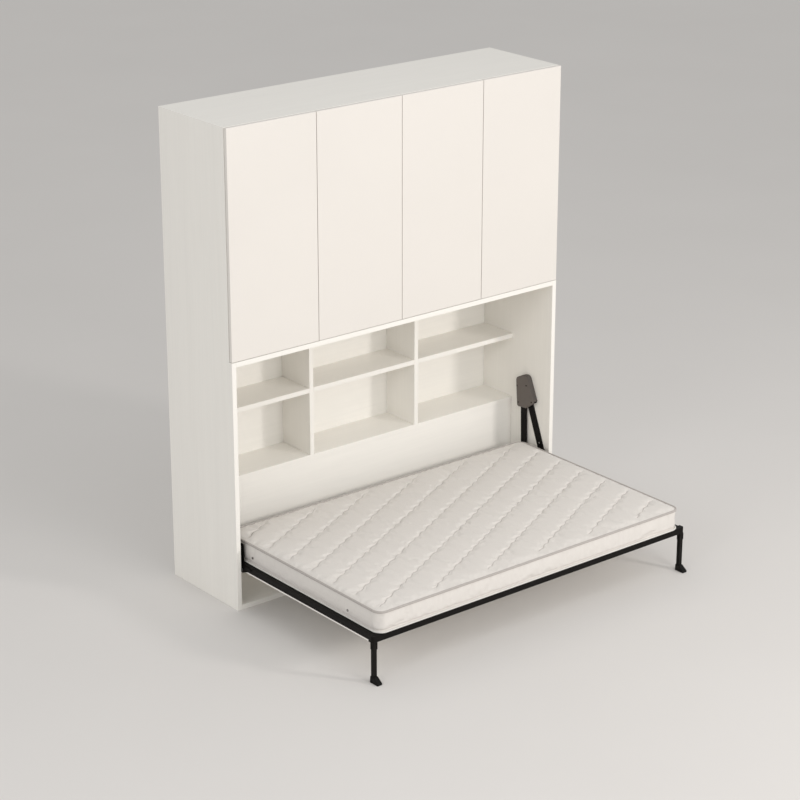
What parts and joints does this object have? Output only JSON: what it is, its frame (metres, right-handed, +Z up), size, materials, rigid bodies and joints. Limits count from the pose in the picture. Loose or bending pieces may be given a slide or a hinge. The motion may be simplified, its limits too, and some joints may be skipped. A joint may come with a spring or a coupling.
{
  "type": "murphy wall bed",
  "caption": "White wall bed: a side-tilting single bed on a black steel frame folds into a cabinet with open shelf niches behind it and hinged cupboard doors above.",
  "frame": {"origin": "on the floor at the centre of the cabinet's footprint", "axes": "+X along the cabinet to the right as seen from the room, +Y towards the wall, +Z up"},
  "size_m": [2.08, 1.62, 2.436],
  "materials": {
    "board_white": "matt melamine with a faint horizontal grain",
    "door_white": "smooth matt lacquer",
    "black_steel": "satin black powder coat",
    "zinc_steel": "bright zinc plate",
    "cover_grey": "finely textured warm grey",
    "foot_black": "moulded black",
    "latch_white": "smooth white",
    "latch_grey": "smooth grey",
    "slat_wood": "bare bent birch",
    "mattress_cloth": "quilted knit with a piped edge"
  },
  "bodies": {
    "root": {"side_panel_left": "board_white", "side_panel_right": "board_white", "top_panel": "board_white", "bottom_panel": "board_white", "sill_panel": "board_white", "centre_partition": "board_white", "upper_back_panel": "board_white", "lower_back_panel": "board_white", "upper_shelf_left": "board_white", "upper_shelf_right": "board_white", "shelf_pins": "zinc_steel", "divider_left": "board_white", "divider_right": "board_white", "niche_shelf_left": "board_white", "niche_shelf_centre": "board_white", "niche_shelf_right": "board_white", "niche_base_shelf": "board_white", "false_panel": "board_white", "wall_brackets": "zinc_steel", "stay_left": "black_steel", "stay_right": "black_steel", "pivot_pins": "zinc_steel", "strut_pins": "zinc_steel", "stay_screws": "zinc_steel", "cover_left": "cover_grey", "cover_right": "cover_grey", "cover_screws": "black_steel", "hinge_arms": "zinc_steel", "latch_bodies": "latch_white"},
    "bed": {"front_rail": "black_steel", "rear_rail": "black_steel", "end_rail_left": "black_steel", "end_rail_right": "black_steel", "centre_rail": "black_steel", "slat_ledges": "black_steel", "slats": "slat_wood", "pivot_lugs": "black_steel", "underside_board": "board_white", "mattress": "mattress_cloth", "leg_brackets": "black_steel"},
    "leg_left": {"leg_left": "black_steel", "foot_left": "foot_black"},
    "leg_right": {"leg_right": "black_steel", "foot_right": "foot_black"},
    "strut_left": {"strut_housing_left": "black_steel"},
    "strut_right": {"strut_housing_right": "black_steel"},
    "rod_left": {"strut_rod_left": "zinc_steel"},
    "rod_right": {"strut_rod_right": "zinc_steel"},
    "door_1": {"door_1": "door_white", "hinge_cups_1": "zinc_steel"},
    "door_2": {"door_2": "door_white", "hinge_cups_2": "zinc_steel"},
    "door_3": {"door_3": "door_white", "hinge_cups_3": "zinc_steel"},
    "door_4": {"door_4": "door_white", "hinge_cups_4": "zinc_steel"},
    "plunger_1": {"latch_plunger_1": "latch_grey"},
    "plunger_2": {"latch_plunger_2": "latch_grey"},
    "plunger_3": {"latch_plunger_3": "latch_grey"},
    "plunger_4": {"latch_plunger_4": "latch_grey"}
  },
  "joints": [
    {"name": "bed_fold", "type": "hinge", "parent": "root", "child": "bed", "pos_m": [0, -0.266, 0.21], "axis": [-1, 0, 0], "range_deg": [0, 90]},
    {"name": "leg_left_fold", "type": "hinge", "parent": "bed", "child": "leg_left", "pos_m": [-0.994, -1.297, 0.183], "axis": [1, 0, 0], "range_deg": [0, 90]},
    {"name": "leg_right_fold", "type": "hinge", "parent": "bed", "child": "leg_right", "pos_m": [0.994, -1.297, 0.183], "axis": [1, 0, 0], "range_deg": [0, 90]},
    {"name": "strut_left_swing", "type": "hinge", "parent": "root", "child": "strut_left", "pos_m": [-1.003, -0.082, 0.656], "axis": [-1, 0, 0], "range_deg": [0, 14.07]},
    {"name": "rod_left_slide", "type": "slide", "parent": "strut_left", "child": "rod_left", "axis": [0, -0.0276, -0.9996], "range_m": [0, 0.2083]},
    {"name": "strut_right_swing", "type": "hinge", "parent": "root", "child": "strut_right", "pos_m": [1.003, -0.082, 0.656], "axis": [-1, 0, 0], "range_deg": [0, 14.07]},
    {"name": "rod_right_slide", "type": "slide", "parent": "strut_right", "child": "rod_right", "axis": [0, -0.0276, -0.9996], "range_m": [0, 0.2083]},
    {"name": "door_1_swing", "type": "hinge", "parent": "root", "child": "door_1", "pos_m": [-1.0283, -0.272, 1.8655], "axis": [0, 0, -1], "range_deg": [0, 105]},
    {"name": "door_2_swing", "type": "hinge", "parent": "root", "child": "door_2", "pos_m": [-0.0117, -0.272, 1.8655], "axis": [0, 0, 1], "range_deg": [0, 90]},
    {"name": "door_3_swing", "type": "hinge", "parent": "root", "child": "door_3", "pos_m": [0.0117, -0.272, 1.8655], "axis": [0, 0, -1], "range_deg": [0, 90]},
    {"name": "door_4_swing", "type": "hinge", "parent": "root", "child": "door_4", "pos_m": [1.0283, -0.272, 1.8655], "axis": [0, 0, 1], "range_deg": [0, 105]},
    {"name": "latch_1_push", "type": "slide", "parent": "root", "child": "plunger_1", "axis": [0, -1, 0], "range_m": [0, 0.0081]},
    {"name": "latch_2_push", "type": "slide", "parent": "root", "child": "plunger_2", "axis": [0, -1, 0], "range_m": [0, 0.0081]},
    {"name": "latch_3_push", "type": "slide", "parent": "root", "child": "plunger_3", "axis": [0, -1, 0], "range_m": [0, 0.0081]},
    {"name": "latch_4_push", "type": "slide", "parent": "root", "child": "plunger_4", "axis": [0, -1, 0], "range_m": [0, 0.0081]}
  ],
  "couplings": [
    {"joint": "strut_left_swing", "follows": "bed_fold", "ratio": 0.15521},
    {"joint": "rod_left_slide", "follows": "bed_fold", "m_per_rad": 0.13199},
    {"joint": "strut_right_swing", "follows": "bed_fold", "ratio": 0.15521},
    {"joint": "rod_right_slide", "follows": "bed_fold", "m_per_rad": 0.13199},
    {"joint": "latch_1_push", "follows": "door_1_swing", "m_per_rad": 0.004365},
    {"joint": "latch_2_push", "follows": "door_2_swing", "m_per_rad": 0.005093},
    {"joint": "latch_3_push", "follows": "door_3_swing", "m_per_rad": 0.005093},
    {"joint": "latch_4_push", "follows": "door_4_swing", "m_per_rad": 0.004365}
  ]
}
